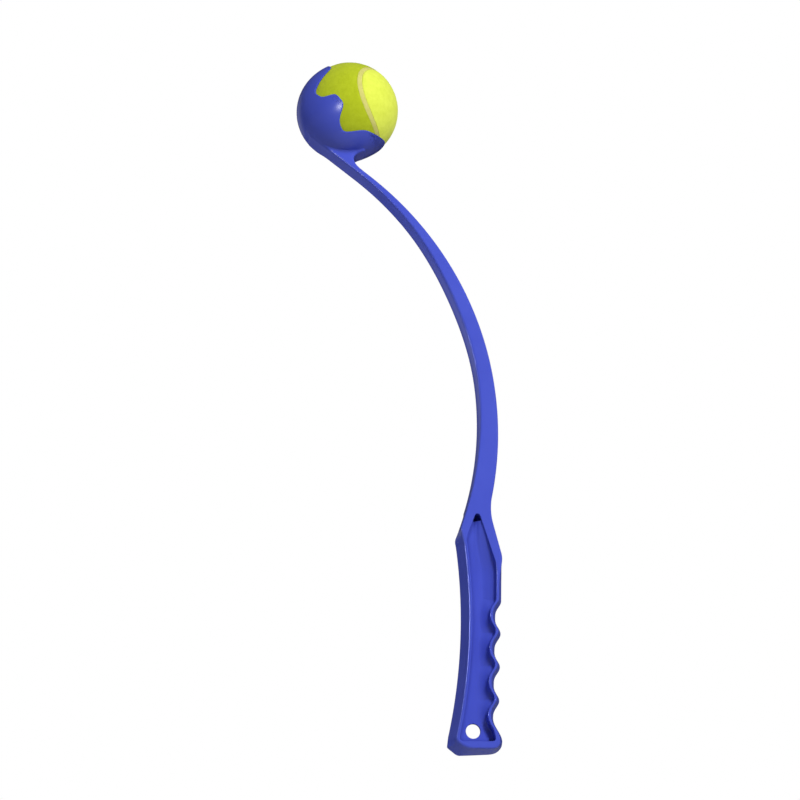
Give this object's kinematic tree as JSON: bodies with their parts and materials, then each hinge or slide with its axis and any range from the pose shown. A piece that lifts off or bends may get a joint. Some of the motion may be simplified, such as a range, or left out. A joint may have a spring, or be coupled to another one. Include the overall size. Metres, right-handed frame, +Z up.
{
  "type": "dog ball launcher",
  "caption": "Hand-held launcher for a dog's ball: a spherical claw cup on a curved springy arm, a bevelled handle with finger grooves and a hang hole, and a tennis ball seated in the cup.",
  "frame": {"origin": "centre of the hang hole, in the middle of the handle's web", "axes": "+Z up the handle towards the cup, +X the throwing side that the finger grooves face, Y across the launcher with Y = 0 its plane of symmetry"},
  "size_m": [0.1352, 0.066, 0.4665],
  "materials": {
    "moulding": "satin blue moulded polypropylene",
    "core": "dull dark grey rubber",
    "felt": "short-napped optic yellow felt",
    "cement": "smooth pale cement"
  },
  "bodies": {
    "launcher": {"claw_cup": "moulding", "throwing_arm": "moulding", "handle": "moulding"},
    "ball": {"core_half_a": "core", "core_half_b": "core", "felt_panel_a": "felt", "felt_panel_b": "felt", "seam_band": "cement"}
  },
  "joints": [
    {"name": "ball_release", "type": "slide", "parent": "launcher", "child": "ball", "axis": [0.788, 0, 0.6157], "range_m": [0, 0.12]}
  ]
}
